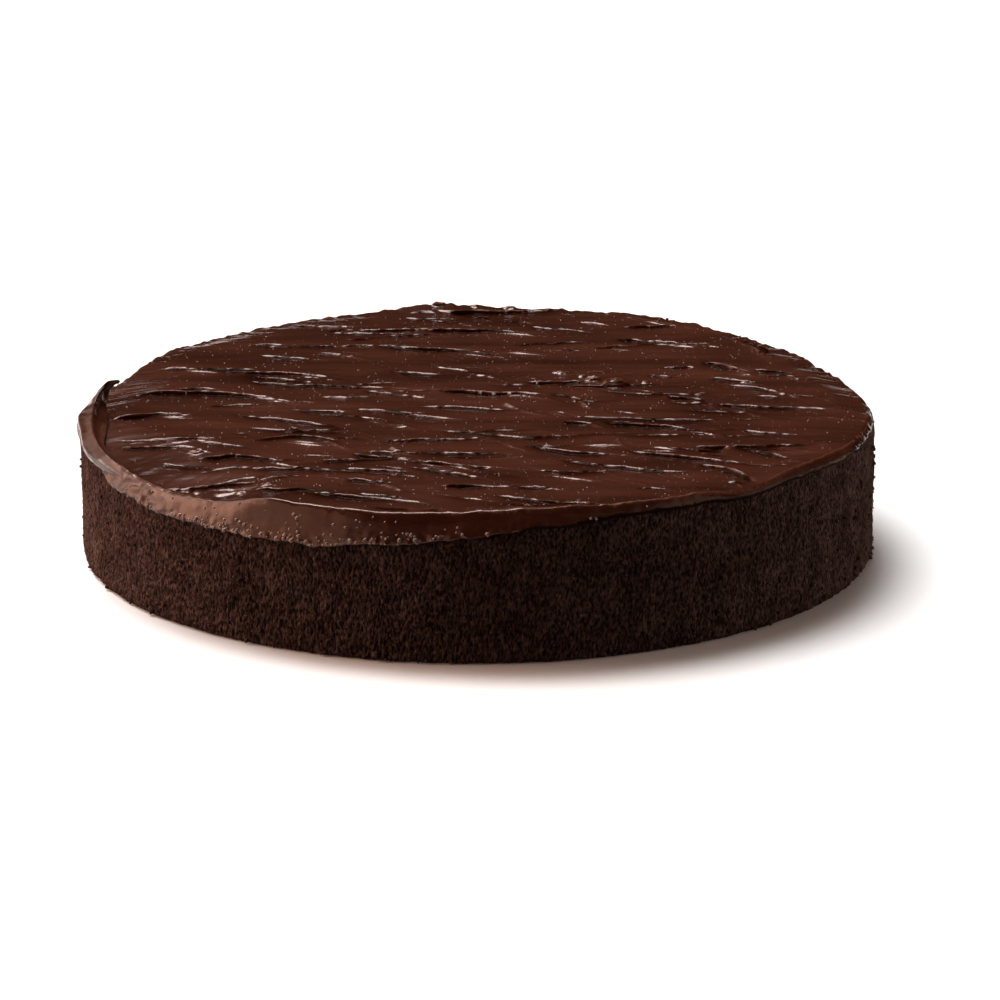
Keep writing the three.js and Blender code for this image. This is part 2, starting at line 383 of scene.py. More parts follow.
# Wet blobs: middle, half length, half width, height
BLOBS = (
    (-91.5, -80.5, 2.6, 1.5, 1.1),
    (-87.5, -83.0, 2.4, 1.2, 1.0),
    (-84.0, -86.5, 1.7, 1.1, 0.9),
    (-75.7, -91.0, 4.2, 1.2, 0.6),
    (-70.5, -92.5, 2.0, 1.0, 0.7),
    (-57.0, -33.0, 2.6, 2.0, 1.3),
    (-85.6, -54.5, 2.2, 1.8, 0.9),
    (37.0, 27.5, 2.4, 2.2, 1.3),
    (27.1, 36.0, 3.0, 1.6, 0.8),
    (33.5, 31.5, 1.6, 1.5, 0.9),
    (53.5, 24.0, 1.3, 1.3, 0.7),
    (-13.0, 121.2, 2.4, 1.3, 3.4),
    (-1.0, 121.5, 1.5, 1.0, 2.0),
    (11.0, 121.3, 2.6, 1.2, 2.2),
)

SWIRL_CENTRE = (43.8, 22.6)
SWIRL_RADIUS = 4.6


def stroke_frame(x, y, start, end):
    """Distances of each point along a stroke and across it, and the stroke's length."""
    run = np.array(end, dtype=float) - np.array(start, dtype=float)
    length = float(np.hypot(*run))
    ahead = run / length
    along = (x - start[0]) * ahead[0] + (y - start[1]) * ahead[1]
    across = (y - start[1]) * ahead[0] - (x - start[0]) * ahead[1]
    return along, across, length


def ridge_share(place, behind, before):
    """Share of a ridge's height at each distance from its middle, with two unlike sides."""
    return np.exp(-(place / np.where(place > 0.0, behind, before)) ** 2)


def lay_stroke(x, y, top, furrow_shade, stroke, depth, ridge, seed):
    """Draws the knife once: it scoops a hollow that ends in a steep edge with a thin lip.

    Gives back the new heights and the painted shade in the stroke's furrows, from 0 to 1.
    """
    start, end, bow, width, strength = stroke
    along, across, length = stroke_frame(x, y, start, end)
    share = np.clip(along / length, 0.0, 1.0)
    wander = ripples(along, seed, (2.1, 23.0), (0.7, 6.0), (0.3, 1.7))
    across = across - bow * 4.0 * share * (1.0 - share) + wander
    taper = smooth(0.0, 0.22, share) * (1.0 - smooth(0.4, 1.0, share))
    ends = smooth(0.0, 0.05, share) * (1.0 - smooth(0.9, 1.0, share))

    reach = np.maximum(width * (0.35 + 0.65 * taper), 1.0)
    mask = smooth(-reach - 1.5, -reach + 2.0, across) * (1.0 - smooth(-0.12, 0.12, across)) * ends
    uneven = np.clip(0.75 + 0.7 * ripple(along / 14.0, seed + 4), 0.15, 1.3)
    cut = strength * depth * taper * uneven
    near = np.clip(1.0 + across / reach, 0.0, 1.0)
    hollow = -cut * (0.35 * near + 0.65 * near ** 3.5)
    spread = across + 0.012 * np.clip(along - 0.55 * length, 0.0, None) ** 2
    streak = noise(spread / 0.9, along / 26.0, seed * 7.7)
    fan = smooth(0.5, 0.85, share) * (1.0 - smooth(0.93, 1.0, share))
    fan = fan * np.exp(-((across + 2.5) / 2.5) ** 2)
    hollow = hollow + (0.05 + 0.26 * fan) * streak

    gap = np.clip(1.6 + 1.2 * ripple(along / 11.0, seed + 3), 0.5, 3.0)
    lumps = np.clip(-0.25 + ripples(along, seed + 5, (0.8, 6.0), (0.7, 1.7)), 0.0, 1.0)
    near_ridge = 0.8 * lumps * taper ** 0.5 * ridge_share(across + gap, 0.3, 0.45)
    lumps = 0.05 + ripples(along, seed + 7, (0.7, 8.0), (0.7, 1.9))
    far_lip = 0.55 * np.clip(lumps, 0.0, 1.1) * (0.3 + 0.7 * taper)
    far_lip = far_lip * ridge_share(across - 0.35, 0.6, 0.25)
    ridges = ridge * strength * (near_ridge + far_lip)
    top = top * (1.0 - 0.9 * mask) + hollow * mask + ridges * ends

    # Painted shade: dark in the hollow just before the steep edge, fading towards the front
    dark = np.clip(2.4 * cut / depth, 0.0, 1.0) * (0.35 * near ** 1.6 + 0.65 * near ** 3.5)
    # Painted shade along the edge where the lip is missing, which also takes away its highlight
    lipless_edge_shade = np.clip(0.42 - 1.4 * lumps, 0.0, 1.0) * np.clip(3.0 * cut / depth, 0.0, 1.0) * ends
    lipless_edge_shade = 0.9 * lipless_edge_shade * np.exp(-((across - 0.15) / 0.5) ** 2)
    return top, np.maximum(furrow_shade * (1.0 - mask) + dark * mask, lipless_edge_shade)


def random_strokes(rng, count, longest, strongest):
    """Strokes all over the top, more of them short and faint than long and strong."""
    strokes = []
    for y in rng.uniform(3.0 - FLAT_RADIUS, FLAT_RADIUS - 3.0, count):
        half = math.sqrt(max(0.0, FLAT_RADIUS ** 2 - y * y))
        length = rng.uniform(0.3, 1.0) * longest
        x = rng.uniform(-half, max(-half + 1.0, half - 0.6 * length))
        end_x = min(x + length, half)
        end = (end_x, y + rng.uniform(-0.50, 0.20) * (end_x - x))
        if end_x - x > 6.0:
            width = rng.uniform(0.12, 0.2) * length + 2.0
            bow, strength = rng.uniform((-1.5, 0.25), (3.0, 1.0))
            strokes.append(((x, y), end, bow, width, strength * strongest))
    return strokes


def towards_back(stroke):
    """The same stroke with its far edge on the left of the way it runs."""
    start, end, bow, width, ridge = stroke
    return stroke if end[0] >= start[0] else (end, start, bow, width, ridge)


def pull_tip(x, y, top, tip, seed):
    """Pulls up one thin tip with a tail that falls away from it."""
    start, end, height = tip
    along, across, length = stroke_frame(x, y, start, end)
    share = np.clip(along / length, 0.0, 1.0)
    across = across + 1.3 * np.sin(math.pi * share) + 0.3 * noise(along / 3.0, seed * 1.7)
    before = np.where(along < 0.0, np.exp(-(along / 0.7) ** 2), 1.0)
    tall = 0.6 * height * (1.0 - share) ** 1.4 * before * (along < length)
    half = lerp(0.4, 0.65, share)
    blade = tall * np.exp(-np.abs(across / np.where(across > 0, half, 1.7 * half)) ** 1.4)
    return top + blade


def lay_fan(x, y, fan, seed):
    """Height of one soft swell with fine ridges that spread apart the way the knife went."""
    start, end, spread = fan
    along, across, length = stroke_frame(x, y, start, end)
    share = np.clip(along / length, 0.0, 1.0)
    side = (across + 0.5 * ripple(along / 5.0, seed)) / (spread * (0.6 + 0.4 * share))
    lines = np.clip(np.cos(3.0 * math.pi * side + seed), 0.0, 1.0) ** 2
    uneven = np.clip(0.8 + 0.8 * noise(side * 2.5, along / 12.0, seed * 3.7), 0.0, 1.3)
    inside = smooth(0.0, 0.4, share) * (1.0 - smooth(0.5, 1.0, share))
    swell = 0.34 * np.exp(-(side / 0.65) ** 2)
    return (0.36 * lines * uneven * np.exp(-side ** 4) + swell) * inside


def lay_blob(x, y, blob, seed):
    """Height of one crumpled wet blob."""
    middle_x, middle_y, half_length, half_width, height = blob
    away = np.hypot((x - middle_x) / half_length, (y - middle_y) / half_width)
    away = away * (1.0 + 0.35 * noise(x / 1.3, y / 1.3, seed * 5.1))
    lumps = 0.8 + 0.5 * noise(x / 0.9, y / 0.9, seed)
    return height * np.sqrt(np.clip(1.0 - away ** 2, 0.0, 1.0)) * lumps


def lay_swirl(x, y, top):
    """Sets one small round swirl on the strokes."""
    away_x = x - SWIRL_CENTRE[0]
    away_y = y - SWIRL_CENTRE[1]
    away = np.hypot(away_x, away_y) / SWIRL_RADIUS
    turn = np.arctan2(away_y, away_x)
    dome = 1.5 * np.sqrt(np.clip(1.0 - away ** 2, 0.0, 1.0))
    spiral = 0.28 * np.cos(2.0 * math.pi * 2.1 * away - turn) * np.clip(1.0 - away ** 2, 0.0, 1.0)
    return np.where(away < 1.0, np.maximum(top, dome + spiral - 0.1), top)


def combs():
    """A small fan of ridges in front of the right half of each main stroke."""
    rng = np.random.default_rng(31)
    fans = []
    for stroke in MAIN_STROKES:
        start, end, bow, width, _ = towards_back(stroke)
        share, drop, spread, slant = rng.uniform((0.35, 0.5, 0.08, 1.0), (0.75, 3.0, 0.21, 9.0))
        first = np.add(end, (0.0, 2.0 * bow * share - drop)) - share * np.subtract(end, start)
        fans.append((tuple(first), (end[0] + 3.0, end[1] - drop - slant), spread * width))
    return fans


def window(axis, start, end, spare):
    """The part of the square grid that lies round a line from start to end."""
    columns, lines = (
        (axis > min(pair) - spare) & (axis < max(pair) + spare) for pair in zip(start, end)
    )
    return np.ix_(lines, columns)


@lru_cache(maxsize=None)
def stroke_field(depth, ridge):
    """Relief of the whole top in millimetres and the painted shade in its furrows, on a square grid.
    """
    axis = np.arange(-FIELD_HALF, FIELD_HALF + FIELD_STEP / 2, FIELD_STEP)
    x, y = np.meshgrid(axis, axis)
    top = 0.30 * noise(x / 34.0, y / 10.0, 5.0) + 0.11 * noise(x / 24.0, y / 3.0, 1.0)
    furrow_shade = np.zeros(top.shape)
    rng = np.random.default_rng(2024)
    strokes = random_strokes(rng, 60, 85.0, 0.9) + random_strokes(rng, 70, 30.0, 0.6)
    strokes = [towards_back(stroke) for stroke in strokes]
    strokes += MAIN_STROKES
    strokes.sort(key=lambda stroke: -(stroke[0][1] + stroke[1][1]))
    for seed, stroke in enumerate(strokes, start=1):
        part = window(axis, stroke[0], stroke[1], abs(stroke[2]) + stroke[3] + 6.0)
        top[part], furrow_shade[part] = lay_stroke(
            x[part], y[part], top[part], furrow_shade[part], stroke, depth, ridge, seed)
    for seed, tip in enumerate(TIPS):
        part = window(axis, tip[0], tip[1], 6.0)
        top[part] = pull_tip(x[part], y[part], top[part], tip, seed)
    for seed, fan in enumerate([*FANS, *combs()]):
        part = window(axis, fan[0], fan[1], 2.0 * fan[2])
        top[part] += lay_fan(x[part], y[part], fan, seed)
    for seed, blob in enumerate(BLOBS):
        top = top + lay_blob(x, y, blob, seed)
    return lay_swirl(x, y, top), furrow_shade


def relief(x, y, layer=0):
    """Relief of the strokes at any points of the top, or with layer 1 the painted shade in their
    furrows.
    """
    settings = bpy.context.scene.cake_frosting
    field = stroke_field(settings.stroke_depth / MM, settings.ridge_height / MM)[layer]
    column = np.clip((x + FIELD_HALF) / FIELD_STEP, 0, field.shape[1] - 1.001)
    line = np.clip((y + FIELD_HALF) / FIELD_STEP, 0, field.shape[0] - 1.001)
    left, front = column.astype(int), line.astype(int)
    near = lerp(field[front, left], field[front, left + 1], column - left)
    far = lerp(field[front + 1, left], field[front + 1, left + 1], column - left)
    return lerp(near, far, line - front)


def rim_crest(angle):
    """Height of the rim with its ragged little lumps, which are larger at the back."""
    x, y = place_at(angle)
    ragged = 0.45 * noise(x / 9.0, y / 9.0, 3.0) + 0.35 * noise(x / 3.0, y / 3.0, 7.0)
    back = smooth(-0.2, 0.4, y / SPONGE_RADIUS)
    return rim_height(angle) + ragged * lerp(0.55, 1.5, back)


def fold_line(x, y):
    """Nearness of each point to the thin fold round the frosting's edge, and its height."""
    angle, inset = angle_and_inset(x, y)
    hang = np.clip((rim_height(angle) - at_angle(LIP_HEIGHTS, angle)) / 8.0, 0.0, 1.0)
    fold_inset = lerp(0.6, 2.2, hang) + at_angle(RIM_INSETS, angle)
    uneven = np.clip(0.8 + 0.8 * noise(x / 5.0, y / 5.0, 8.0), 0.2, 1.3)
    return np.exp(-((inset - fold_inset) / 0.5) ** 2), (0.32 - 0.08 * hang) * uneven


def frosting_top(x, y):
    """Height of the frosting's top, which meets the rim along the shoulder."""
    angle, inset = angle_and_inset(x, y)
    share = slope_share(1.2, angle, inset)
    near, height = fold_line(x, y)
    strokes = relief(x, y) * lerp(0.35, 1.0, smooth(2.0, 8.0, inset))
    return lerp(rim_crest(angle), TOP_LEVEL, share) + strokes + near * height


# ---- Meshes ----


def make_mesh(name, points, *faces):
    """A mesh in metres from points in millimetres and arrays of three- or four-sided faces."""
    mesh = bpy.data.meshes.new(name)
    mesh.vertices.add(len(points))
    mesh.vertices.foreach_set("co", (np.asarray(points, dtype=float) * MM).ravel())
    corners = np.concatenate([np.asarray(group).ravel() for group in faces])
    sizes = np.concatenate([np.full(len(group), np.shape(group)[1]) for group in faces])
    mesh.loops.add(len(corners))
    mesh.loops.foreach_set("vertex_index", corners.astype(np.int32))
    mesh.polygons.add(len(sizes))
    starts = np.cumsum(sizes) - sizes
    mesh.polygons.foreach_set("loop_start", starts.astype(np.int32))
    mesh.update(calc_edges=True)
    if mesh.validate():
        raise RuntimeError(name + " has a broken face")
    mesh.polygons.foreach_set("use_smooth", np.ones(len(sizes), dtype=bool))
    return mesh


def add_object(name, data):
    """Puts a mesh, light or camera into the scene."""
    made = bpy.data.objects.new(name, data)
    bpy.context.scene.collection.objects.link(made)
    return made


def add_piece(name, mesh, material, slot, *nodes):
    """Puts a mesh into the scene as a piece of the cake."""
    piece = add_object(name, mesh)
    mesh.materials.append(material)
    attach(piece, "root")
    if nodes:
        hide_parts(*nodes)
    return piece


def mesh_points(mesh):
    """The points of a mesh, in millimetres."""
    points = np.empty(len(mesh.vertices) * 3)
    mesh.vertices.foreach_get("co", points)
    return points.reshape(-1, 3) / MM


def store_value(mesh, name, values):
    """Keeps one number for each point of a mesh, for its material to read."""
    attribute = mesh.attributes.new(name, "FLOAT", "POINT")
    attribute.data.foreach_set("value", np.asarray(values, dtype=np.float32))


def ring_faces(count, rings, first=0):
    """Four-sided faces between rings of count points each, one after the other."""
    here = np.arange(count)
    there = (here + 1) % count
    low = first + count * np.arange(rings - 1)[:, None]
    quads = np.stack([low + here, low + there, low + count + there, low + count + here], axis=-1)
    return quads.reshape(-1, 4)


def fan_faces(ring, centre, up):
    """Three-sided faces from a ring of points to its centre."""
    after = np.roll(ring, -1)
    pair = (ring, after) if up else (after, ring)
    return np.stack([*pair, np.full(len(ring), centre)], axis=-1)


def thin_out(mesh, triangles):
    """The same shape with fewer triangles, kept where the surface bends most."""
    holder = add_object("thin_out", mesh)
    quads = sum(1 for polygon in mesh.polygons if polygon.loop_total == 4)
    fewer = holder.modifiers.new("fewer", "DECIMATE")
    fewer.ratio = triangles / (len(mesh.polygons) + quads)
    depsgraph = bpy.context.evaluated_depsgraph_get()
    result = bpy.data.meshes.new_from_object(holder.evaluated_get(depsgraph))
    name = mesh.name
    bpy.data.objects.remove(holder)
    bpy.data.meshes.remove(mesh)
    result.name = name
    result.polygons.foreach_set("use_smooth", np.ones(len(result.polygons), dtype=bool))
    return result


# ---- Sponge ----

SIDE_COLUMNS = 1900
SIDE_ROWS = 46
FOOT_HEIGHT = 0.7


def pore_depths(angle, z, width, height, seed):
    """How deep each point of the wall lies in a pore: 0 on the crumb, 1 in the middle."""
    cells = round(2 * math.pi * SPONGE_RADIUS / width)
    column = (angle % 360.0) / 360.0 * cells
    line = z / height
    slant = 0.22 * noise(column / 19.0, line / 3.0, seed)
    column, line = column + slant * line, line + 0.45 * noise(column / 2.3, line / 2.3, seed + 9.0)
    rng = np.random.default_rng(seed)
    lines = int(math.ceil(line.max())) + 4
    shift = rng.uniform(0.12, 0.88, (lines, cells, 2))
    size = rng.uniform(0.25, 1.0, (lines, cells)) ** 0.7
    best = np.zeros(column.shape)
    for step in np.ndindex(3, 3):
        cell = np.floor(column).astype(int) + step[0] - 1
        row = np.floor(line).astype(int) + step[1] - 1
        key = (np.clip(row + 1, 0, lines - 1), cell % cells)
        offset = shift[key]
        gap = np.hypot(column - cell - offset[..., 0], line - row - offset[..., 1])
        best = np.maximum(best, 1.0 - smooth(0.25, 1.0, gap / (0.62 * size[key])))
    return best


def sponge_side(settings):
    """Points of the sponge's porous side, from the foot up, and how deep each one lies."""
    angle = np.arange(SIDE_COLUMNS) * 360.0 / SIDE_COLUMNS
    rise = np.linspace(0.0, 1.0, SIDE_ROWS)[:, None]
    z = lerp(FOOT_HEIGHT, edge_height(angle) - EDGE_ROUNDING, rise)
    angle = np.broadcast_to(angle, z.shape)
    width, height = settings.pore_width / MM, settings.pore_height / MM
    coarse = pore_depths(angle, z, width, height, 3)
    fine = pore_depths(angle, z, 0.62 * width, 0.5 * height, 8)
    pore = np.maximum(coarse, 0.55 * fine)
    x, y = place_at(angle, 1.0)
    lumps = 0.30 * noise(x * 16.0, y * 16.0, z / 9.0) + 0.22 * noise(x * 70.0, y * 70.0, z / 2.0)
    foot_loss = 0.9 * (1.0 - smooth(0.0, 2.2, z)) * (0.6 + 0.6 * noise(x * 40.0, y * 40.0, 5.0))
    radius = wall_radius(angle, z) - 0.25 + lumps - settings.pore_depth / MM * pore - foot_loss
    return np.stack([radius * x, radius * y, z], axis=-1), pore


def make_sponge(settings):
    """The whole sponge: flat foot, porous side, and a shoulder that closes under the frosting."""
    side, pore = sponge_side(settings)
    angle = np.arange(SIDE_COLUMNS) * 360.0 / SIDE_COLUMNS
    foot = side[0] * (1.0, 1.0, 0.0) * (1.0 - 1.2 / SPONGE_RADIUS)
    shoulder = [
        points_at(angle, SPONGE_RADIUS - inset, sponge_top(angle, inset) - SEAM)
        for inset in (EDGE_ROUNDING + 0.4, 5.0, 12.0, SHOULDER_WIDEST)
    ]
    rings = [foot, *side, *shoulder]
    middles = [(0.0, 0.0, 0.0), (0.0, 0.0, SPONGE_HEIGHT - SEAM)]
    points = np.concatenate([*rings, middles])
    count = SIDE_COLUMNS * len(rings)
    first = np.arange(SIDE_COLUMNS)
    mesh = make_mesh(
        "cake_sponge", points,
        ring_faces(SIDE_COLUMNS, len(rings)),
        fan_faces(first, count, up=False),
        fan_faces(first + count - SIDE_COLUMNS, count + 1, up=True),
    )
    depth = np.zeros(len(points))
    depth[SIDE_COLUMNS:SIDE_COLUMNS + pore.size] = pore.ravel()
    store_value(mesh, "pore", depth)
    return mesh


# ---- Frosting ----

GRID_ACROSS = 430
GRID_DEEP = 740
GRID_INSET = 8.0
SHOULDER_ROWS = 15
LAP_ROWS = 26
LIP_ROWS = 6
CRUMPLED_ANGLE = -143.0


def disc_grid():
    """A grid of points over the unit disc, its lines running left to right."""
    u = np.linspace(-1.0, 1.0, GRID_ACROSS + 1)[None, :]
    v = np.linspace(-1.0, 1.0, GRID_DEEP + 1)[:, None]
    return u * np.sqrt(1.0 - v * v / 2.0), v * np.sqrt(1.0 - u * u / 2.0)


def grid_border():
    """Numbers of the grid's border points, anticlockwise from its front right corner."""
    wide, deep = GRID_ACROSS + 1, GRID_DEEP + 1
    number = np.arange(wide * deep).reshape(deep, wide)
    return np.concatenate([number[:-1, -1], number[-1, :0:-1], number[:0:-1, 0], number[0, :-1]])


def lap_profile(angle, thickness):
    """Wall's radius, lip's height, crest's and face's radius, skin and hang at each angle."""
    x, y = place_at(angle)
    inset = at_angle(RIM_INSETS, angle)
    laps = 1.0 - smooth(0.15, 0.9, inset)
    fine = lerp(0.5, 0.1, smooth(30.0, 70.0, angle))
    ragged = 0.7 * noise(x / 4.0, y / 4.0, 6.0) + fine * noise(x / 1.8, y / 1.8, 1.0)
    inset = np.maximum(inset + (1.0 - laps) * ragged, 0.0)
    covered = edge_height(angle) - at_angle(LIP_HEIGHTS, angle)
    skin = lerp(0.35, 1.0, smooth(0.5, 4.0, covered)) * thickness
    lip = lerp(sponge_top(angle, inset) - 0.15, lip_height(angle), laps)
    wall = wall_radius(angle, lip) - inset * (1.0 - laps)
    outer = wall + skin * lerp(0.4, 1.0, laps)
    hang = np.clip((rim_height(angle) - lip) / 8.0, 0.0, 1.0)
    return wall, lip, outer - lerp(1.2, 3.2, hang), outer, skin, hang


def lap_face(angle, share, thickness):
    """Radius and height of the frosting's outer face, from its crest at 0 to its lip at 1."""
    x, y = place_at(angle)
    _, lip, crest, outer, skin, hang = lap_profile(angle, thickness)
    z = lerp(frosting_top(*place_at(angle, crest)), lip + 0.6, share)
    crumpled = np.exp(-((angle - CRUMPLED_ANGLE) / 8.0) ** 2)
    crumpled = crumpled + 0.45 * smooth(-85.0, -68.0, angle) * smooth(0.0, -15.0, angle)
    streaks = 0.03 * noise(x / 1.9, y / 1.9, z / 9.0) + 0.16 * noise(x / 10.0, y / 10.0, z / 6.0)
    lumps = (0.45 * noise(x / 2.3, y / 2.3, z / 1.7) + 0.2) * np.exp(-(z - lip) / 2.2)
    lumps = lumps + 0.5 * noise(x / 3.1, y / 3.1, z / 2.1) * crumpled
    swell = skin * (streaks + lumps * hang) * smooth(0.0, 0.3, share)
    return lerp(crest, outer, 1.0 - (1.0 - share) ** 1.3) + swell, z


def lap_rings(angle, settings):
    """Rings of (radius, height) from the shoulder over the crest, down the lap and back in."""
    thickness = settings.lap_thickness / MM
    wall, lip, crest = lap_profile(angle, thickness)[:3]
    rings = []
    for share in np.linspace(0.0, 1.0, SHOULDER_ROWS)[1:]:
        radius = lerp(SPONGE_RADIUS - GRID_INSET, crest, share)
        rings.append((radius, frosting_top(*place_at(angle, radius))))
    rings += [lap_face(angle, share, thickness) for share in np.linspace(0.0, 1.0, LAP_ROWS)[1:]]
    lip_radius, lip_z = rings[-1]
    for turn in np.linspace(0.0, math.pi / 2.0, LIP_ROWS)[1:]:
        back = 1.0 - math.cos(turn)
        rings.append((lerp(lip_radius, wall - 0.5, back), lip_z - 0.7 * math.sin(turn)))
    inside = wall - 0.9
    rings.append((inside, lip + 0.2))
    roof = sponge_top(angle, SPONGE_RADIUS - inside) - 0.3
    rings.append((inside, np.maximum(roof, lip + 0.3)))
    for inset in (4.5, 10.0, 20.0, SHOULDER_WIDEST):
        rings.append((SPONGE_RADIUS - inset, sponge_top(angle, inset) + SEAM))
    return rings


def frosting_mesh(settings):
    """The whole frosting: grid over the top, rings down the lap, and a closed underside."""
    disc_x, disc_y = disc_grid()
    grid_radius = SPONGE_RADIUS - GRID_INSET
    x, y = disc_x * grid_radius, disc_y * grid_radius
    grid = np.stack([x, y, frosting_top(x, y)], axis=-1).reshape(-1, 3)
    border = grid_border()
    angle, _ = angle_and_inset(*grid[border, :2].T)
    rings = [points_at(angle, radius, z) for radius, z in lap_rings(angle, settings)]
    points = np.concatenate([grid, *rings, [(0.0, 0.0, SPONGE_HEIGHT + SEAM)]])
    number = np.arange(len(grid)).reshape(-1, GRID_ACROSS + 1)
    squares = (number[:-1, :-1], number[:-1, 1:], number[1:, 1:], number[1:, :-1])
    first = len(grid) + np.arange(len(border))
    seam = (first, np.roll(first, -1), np.roll(border, -1), border)
    last = first + len(border) * (len(rings) - 1)
    mesh = make_mesh(
        "cake_frosting", points,
        np.stack(squares, axis=-1).reshape(-1, 4),
        np.stack(seam, axis=-1),
        ring_faces(len(border), len(rings), len(grid))[:, ::-1],
        fan_faces(last, len(points) - 1, up=False),
    )
    return thin_out(mesh, settings.triangles)


def crest_values(points):
    """How much each point of the frosting stands up from its surroundings, from 0 to 1."""
    x, y, _ = points.T
    around = sum(
        relief(x + 1.6 * math.cos(turn), y + 1.6 * math.sin(turn))
        for turn in np.linspace(0.0, 2.0 * math.pi, 8, endpoint=False)
    ) / 8.0
    on_top = np.clip(0.5 + 1.1 * (relief(x, y) - around), 0.0, 1.0)
    return np.where(angle_and_inset(x, y)[1] > 2.0, on_top, 0.5 + 0.5 * fold_line(x, y)[0])


def lap_values(points):
    """How far each point of the frosting is out on the lap, from 0 to 1."""
    return smooth(1.0, -0.6, angle_and_inset(*points.T[:2])[1])


def furrow_shade_values(points):
    """How much painted shade each point of the frosting gets, in the strokes' furrows and under the
    lap's lower lip, from 0 to 1.
    """
    x, y, z = points.T
    angle, inset = angle_and_inset(x, y)
    # Painted shade under the lap's lower lip, where the frosting hangs over the side
    low = lerp(0.35, 0.8, smooth(-95.0, -75.0, angle))
    under = smooth(low + 0.4, low, z - lip_height(angle)) * lap_values(points)
    return np.maximum(relief(x, y, 1) * smooth(1.0, 5.0, inset), under)


def pale_values(points):
    """How pale each point of the frosting is: patches along the lap's lower border."""
    x, y, z = points.T
    angle, _ = angle_and_inset(x, y)
    above = z - lip_height(angle) + 0.5 * noise(x / 1.5, y / 1.5, z / 1.5)
    patches = smooth(-0.15, 0.35, noise(x / 3.5, y / 3.5, z / 3.5))
    near = smooth(26.0, 10.0, np.abs(angle + 120.0))
    return 0.8 * smooth(1.3, 0.4, above) * patches * near * lap_values(points)


CURL_COLUMNS = 90

# The curl from front to back: y, then (x, height) of its foot, of its thin lip and of its
# outer shoulder
CURL_STATIONS = (
    (-68, (-102.2, 39.9), (-102.9, 40.2), (-103.9, 39.4)),
    (-60, (-107.0, 41.6), (-108.2, 42.2), (-110.3, 40.6)),
    (-51, (-111.6, 43.2), (-113.4, 44.0), (-116.6, 42.2)),
    (-42, (-114.4, 44.4), (-116.6, 45.3), (-120.4, 43.2)),
    (-34, (-114.6, 44.9), (-118.3, 46.0), (-122.0, 44.6)),
    (-26, (-114.6, 45.0), (-119.3, 46.9), (-123.0, 45.4)),
    (-18, (-114.9, 45.2), (-119.5, 48.0), (-124.2, 46.5)),
    (-12, (-115.3, 45.4), (-119.4, 49.2), (-122.4, 47.9)),
    (-8, (-115.8, 45.6), (-118.7, 50.7), (-120.3, 49.9)),
    (-5, (-116.3, 47.2), (-117.4, 52.1), (-118.3, 52.0)),
    (-3.5, (-115.6, 51.4), (-115.5, 53.6), (-115.9, 54.0)),
    (-3, (-113.6, 53.5), (-113.2, 54.1), (-113.2, 54.3)),
    (-2.8, (-112.4, 53.7), (-112.2, 53.9), (-112.2, 54.0)),
)


def through(stations, place):
    """Smooth values through evenly counted stations at each place along them."""
    values = np.array(stations, dtype=float)
    last = len(values) - 1
    knot = np.clip(place.astype(int), 0, last - 1)
    part = (place - knot)[:, None]
    before, here = values[np.maximum(knot - 1, 0)], values[knot]
    there, after = values[knot + 1], values[np.minimum(knot + 2, last)]
    bend = 2.0 * before - 5.0 * here + 4.0 * there - after
    cube = 3.0 * (here - there) + after - before
    return 0.5 * (2.0 * here + (there - before) * part + bend * part ** 2 + cube * part ** 3)


def curl_section(foot, lip, shoulder):
    """Outline (x, height) across the curl: up the hollow inside, over the lip, down outside."""
    face, slope = lip - foot, shoulder - lip
    size = max(float(np.hypot(*face)), 0.1)
    outward = np.array([-face[1], face[0]]) / size
    share = np.linspace(0.0, 1.0, 13)[:, None]
    inner = foot + face * share + outward * 0.16 * size * np.sin(math.pi * share) ** 1.2
    share = np.linspace(0.12, 1.0, 11)[:, None]
    sag = 0.10 * float(np.hypot(*slope)) * np.sin(math.pi * share)
    outer = lip + slope * share + (0.12 * (1.0 - share) - sag) * (0.0, 1.0)
    sink = np.array([1.4, -5.0]) * min(1.0, size / 4.0)
    share = np.linspace(0.0, 1.0, 7)[1:, None]
    down = outer[-1] + sink * share - np.sin(math.pi * share) * (0.5 * (size > 2.0), 0.0)
    under = lerp(down[-1], foot - (0.0, 0.8), np.array([[0.5], [1.0]]))
    return np.concatenate([inner, outer, down, under])


def curl_mesh():
    """The curl that the knife lifted off the left rim: a thin lip with a hollow inner face."""
    flat = [(y, *foot, *lip, *shoulder) for y, foot, lip, shoulder in CURL_STATIONS]
    loops = []
    for y, *section in through(flat, np.linspace(0.0, len(flat) - 1.0, CURL_COLUMNS)):
        loops.append(np.insert(curl_section(*np.reshape(section, (3, 2))), 1, y, axis=1))
    points = np.array(loops)
    x, y, z = np.moveaxis(points, -1, 0)
    x += 0.18 * noise(x / 2.5, y / 4.0, z / 2.0)
    z += 0.12 * noise(x / 3.0, y / 3.0, 4.0)
    size = points.shape[1]
    count = CURL_COLUMNS * size
    ends = points[[0, -1]].mean(axis=1)
    return make_mesh(
        "frosting_curl", np.concatenate([points.reshape(-1, 3), ends]),
        ring_faces(size, CURL_COLUMNS),
        fan_faces(np.arange(size), count, up=False),
        fan_faces(count - size + np.arange(size), count + 1, up=True),
    )


# ---- Bubbles and crumbs ----

# Share of the bubbles that lie on the top, and where round the cake the others gather
TOP_BUBBLES = 0.91
LAP_MIDDLE = -116.0

# Crumbs by a number from 0 to 1: below the first at the foot, then on the side, from the
# second on its right, from the third on the rim
FOOT_CRUMBS, RIGHT_CRUMBS, RIM_CRUMBS = 0.10, 0.75, 0.93


